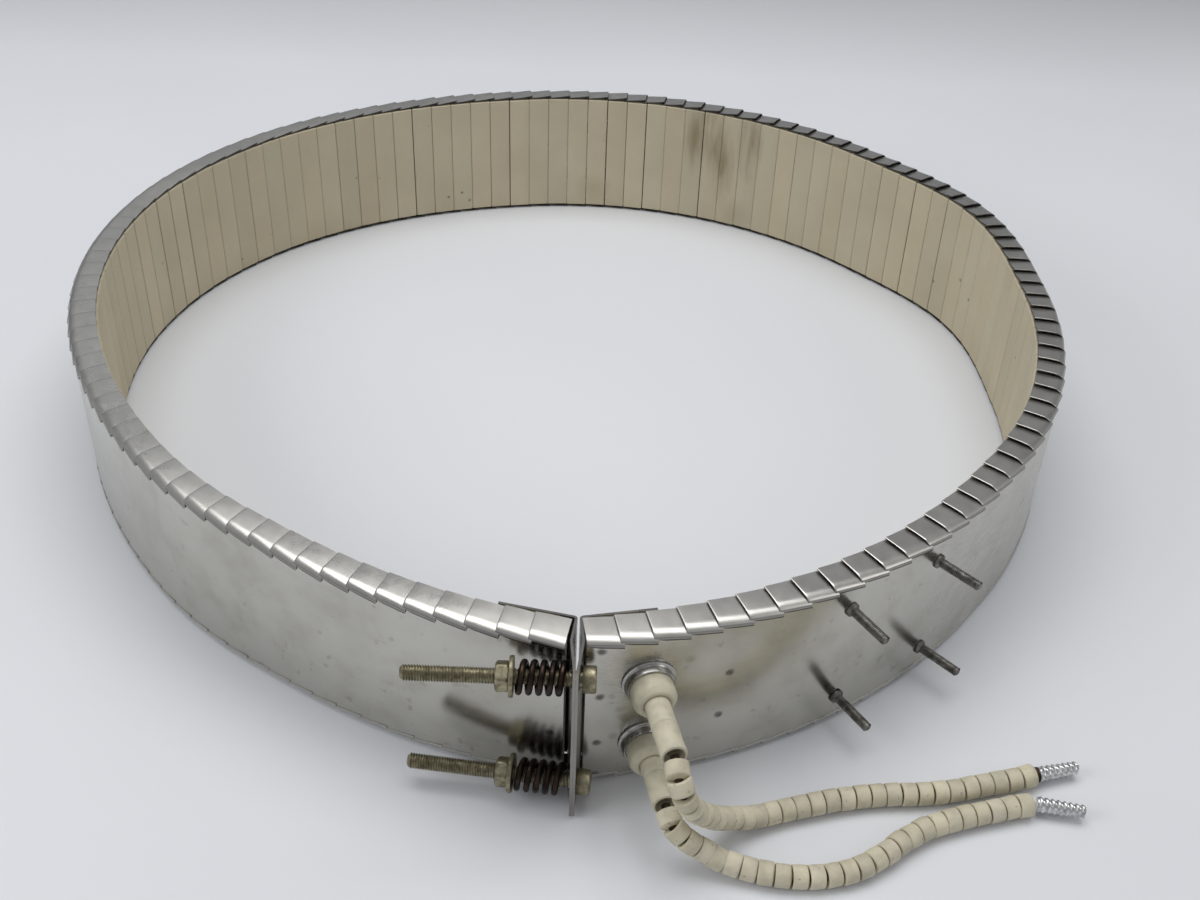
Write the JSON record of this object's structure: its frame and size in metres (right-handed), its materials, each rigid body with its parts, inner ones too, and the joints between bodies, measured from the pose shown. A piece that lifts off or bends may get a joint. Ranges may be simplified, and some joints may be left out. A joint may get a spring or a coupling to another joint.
{
  "type": "ceramic band heater",
  "caption": "Spring-clamped ceramic band heater for a large round barrel, with a folded-tab steel sheath, tile lining, beaded leads and welded studs.",
  "frame": {"origin": "centre of the clamped barrel, half way up the band", "axes": "+Z along the barrel, -Y towards the clamp, +X to the right seen from the clamp side"},
  "size_m": [0.4839, 0.5364, 0.0754],
  "materials": {
    "sheath_steel": "thin stainless sheet, brushed and lightly smudged, bright at its folds",
    "lug_steel": "stainless sheet, satin",
    "tile_ceramic": "matt porous ceramic, beige khaki, brown stains at some upper edges",
    "ribbon_alloy": "flat heating ribbon, dull",
    "blanket_fibre": "soft ceramic fibre mat",
    "screw_steel": "zinc plated, yellowish, worn",
    "spring_steel": "dark oiled spring steel, reddish glints",
    "pin_steel": "plain steel pin",
    "collar_steel": "bright pressed steel",
    "bush_ceramic": "cream ceramic, satin",
    "bead_ceramic": "cream ceramic beads, matt",
    "ferrule_tin": "bright tinned crimp",
    "stud_steel": "dark threaded steel"
  },
  "bodies": {
    "band": {"sheath": "sheath_steel", "tiles_01": "tile_ceramic", "tiles_02": "tile_ceramic", "tiles_03": "tile_ceramic", "tiles_04": "tile_ceramic", "tiles_05": "tile_ceramic", "tiles_06": "tile_ceramic", "tiles_07": "tile_ceramic", "tiles_08": "tile_ceramic", "tiles_09": "tile_ceramic", "tiles_10": "tile_ceramic", "tiles_11": "tile_ceramic", "tiles_12": "tile_ceramic", "heating_ribbon": "ribbon_alloy", "insulation_blanket": "blanket_fibre", "left_lug": "lug_steel", "right_lug": "lug_steel", "upper_terminal_pin": "pin_steel", "upper_terminal_collar": "collar_steel", "upper_terminal_bush": "bush_ceramic", "upper_terminal_tube": "bush_ceramic", "lower_terminal_pin": "pin_steel", "lower_terminal_collar": "collar_steel", "lower_terminal_bush": "bush_ceramic", "lower_terminal_tube": "bush_ceramic", "upper_left_stud": "stud_steel", "upper_right_stud": "stud_steel", "lower_left_stud": "stud_steel", "lower_right_stud": "stud_steel", "upper_lead": "bead_ceramic", "lower_lead": "bead_ceramic", "upper_lead_ferrule": "ferrule_tin", "lower_lead_ferrule": "ferrule_tin", "upper_spring": "spring_steel", "lower_spring": "spring_steel"},
    "upper_screw": {"upper_clamp_screw": "screw_steel"},
    "upper_washer": {"upper_washer": "screw_steel"},
    "upper_nut": {"upper_nut": "screw_steel"},
    "lower_screw": {"lower_clamp_screw": "screw_steel"},
    "lower_washer": {"lower_washer": "screw_steel"},
    "lower_nut": {"lower_nut": "screw_steel"}
  },
  "joints": [
    {"name": "upper_screw_turn", "type": "hinge", "parent": "band", "child": "upper_screw", "pos_m": [0.0088, -0.25985, 0.0263], "axis": [1, 0, 0], "continuous": true},
    {"name": "upper_washer_travel", "type": "slide", "parent": "band", "child": "upper_washer", "axis": [1, 0, 0], "range_m": [-0.004, 0.006], "deforming": ["upper_spring"]},
    {"name": "upper_nut_turn", "type": "hinge", "parent": "upper_washer", "child": "upper_nut", "pos_m": [0.0088, -0.25985, 0.0263], "axis": [1, 0, 0], "range_deg": [-1450, 2170]},
    {"name": "lower_screw_turn", "type": "hinge", "parent": "band", "child": "lower_screw", "pos_m": [0.0088, -0.26165, -0.0263], "axis": [0.9942, -0.1078, 0], "continuous": true},
    {"name": "lower_washer_travel", "type": "slide", "parent": "band", "child": "lower_washer", "axis": [0.9942, -0.1078, 0], "range_m": [-0.004, 0.006], "deforming": ["lower_spring"]},
    {"name": "lower_nut_turn", "type": "hinge", "parent": "lower_washer", "child": "lower_nut", "pos_m": [0.0088, -0.26165, -0.0263], "axis": [0.9942, -0.1078, 0], "range_deg": [-1450, 2170]}
  ],
  "couplings": [
    {"joint": "upper_nut_turn", "follows": "upper_washer_travel", "rad_per_m": 6283.2},
    {"joint": "lower_nut_turn", "follows": "lower_washer_travel", "rad_per_m": 6283.2}
  ]
}
